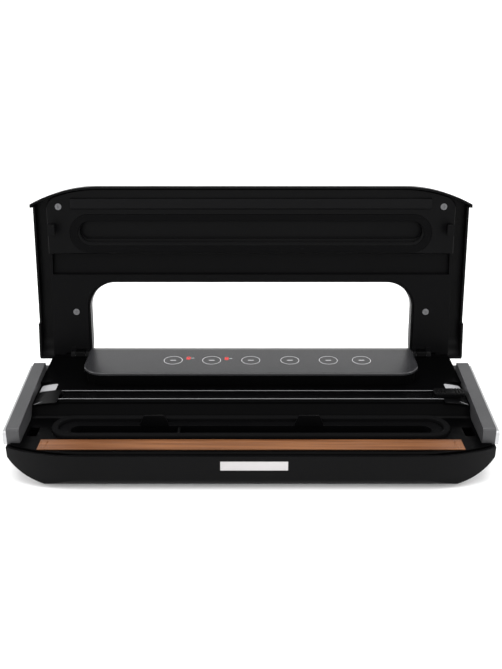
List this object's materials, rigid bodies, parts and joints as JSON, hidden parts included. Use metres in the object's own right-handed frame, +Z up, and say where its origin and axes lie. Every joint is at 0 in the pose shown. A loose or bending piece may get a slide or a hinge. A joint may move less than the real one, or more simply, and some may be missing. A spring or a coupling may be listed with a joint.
{
  "type": "vacuum sealer",
  "caption": "Low, wide household vacuum sealer with its lid open: gasketed chamber, heat strip, bag cutter rail and a flat touch panel behind.",
  "frame": {"origin": "centre of the casing's flat underside, on top of the middle foot", "axes": "+X to the user's right along the long side, +Y to the rear hinge, +Z up"},
  "size_m": [0.4118, 0.1931, 0.2082],
  "materials": {
    "black_plastic": "satin black moulded plastic",
    "foot_rubber": "soft black rubber",
    "gasket_foam": "dark closed-cell foam",
    "press_rubber": "dense black rubber",
    "rail_grey": "mid-grey satin plastic",
    "silver_trim": "silver painted plastic",
    "light_grey": "light grey plastic",
    "steel": "bright steel",
    "insulator": "glass cloth strip",
    "sealing_tape": "copper-brown coated glass cloth",
    "panel_grey": "smooth satin dark grey",
    "red_lens": "clear red plastic",
    "label_white": "blank white film",
    "circuit_board": "green laminate",
    "iron_core": "laminated iron and tape",
    "motor_steel": "plated steel can",
    "pump_plastic": "grey nylon",
    "hose_rubber": "translucent silicone"
  },
  "bodies": {
    "base": {"air_valve": "pump_plastic", "bag_stop_left": "black_plastic", "bag_stop_right": "black_plastic", "base_screws": "steel", "blank_label": "label_white", "control_board": "circuit_board", "control_panel": "panel_grey", "cord_gland": "foot_rubber", "cutter_end_caps": "black_plastic", "cutter_end_plates": "light_grey", "cutter_frame": "black_plastic", "drip_tray": "black_plastic", "heater_insulator": "insulator", "heating_wire": "steel", "latch_guides": "black_plastic", "led_indicators": "red_lens", "led_lenses": "red_lens", "lid_switch": "pump_plastic", "lower_casing": "black_plastic", "lower_gasket": "gasket_foam", "motor_cradle": "pump_plastic", "power_board": "circuit_board", "pump_head": "pump_plastic", "pump_motor": "motor_steel", "rear_housing": "black_plastic", "rubber_feet": "foot_rubber", "sealing_tape": "sealing_tape", "side_rail_left": "rail_grey", "side_rail_right": "rail_grey", "side_trim_left": "silver_trim", "side_trim_right": "silver_trim", "top_deck": "black_plastic", "touch_keys": "panel_grey", "transformer": "iron_core", "vacuum_hose": "hose_rubber"},
    "lid": {"lid_cover": "black_plastic", "lid_liner": "black_plastic", "pressure_plate": "black_plastic", "upper_gasket": "gasket_foam", "press_strip": "press_rubber", "latch_hook_left": "black_plastic", "latch_hook_right": "black_plastic", "lid_screws": "steel", "hinge_pins": "steel"},
    "cutter_bar": {"cutter_bar": "black_plastic"},
    "cutter_slider": {"cutter_slider": "black_plastic", "cutter_blade": "steel"},
    "release_button_left": {"release_button_left": "silver_trim", "latch_spring_left": "steel"},
    "release_button_right": {"release_button_right": "silver_trim", "latch_spring_right": "steel"}
  },
  "joints": [
    {"name": "lid_hinge", "type": "hinge", "parent": "base", "child": "lid", "pos_m": [0, 0.078, 0.0431], "axis": [-1, 0, 0], "range_deg": [-99, 0]},
    {"name": "cutter_bar_lift", "type": "hinge", "parent": "base", "child": "cutter_bar", "pos_m": [0, -0.0006, 0.0412], "axis": [-1, 0, 0], "range_deg": [0, 65]},
    {"name": "cutter_slide", "type": "slide", "parent": "cutter_bar", "child": "cutter_slider", "axis": [1, 0, 0], "range_m": [-0.32, 0]},
    {"name": "release_left", "type": "slide", "parent": "base", "child": "release_button_left", "axis": [1, 0, 0], "range_m": [0, 0.0025], "stiffness_N_per_m": 600},
    {"name": "release_right", "type": "slide", "parent": "base", "child": "release_button_right", "axis": [-1, 0, 0], "range_m": [0, 0.0025], "stiffness_N_per_m": 600}
  ]
}
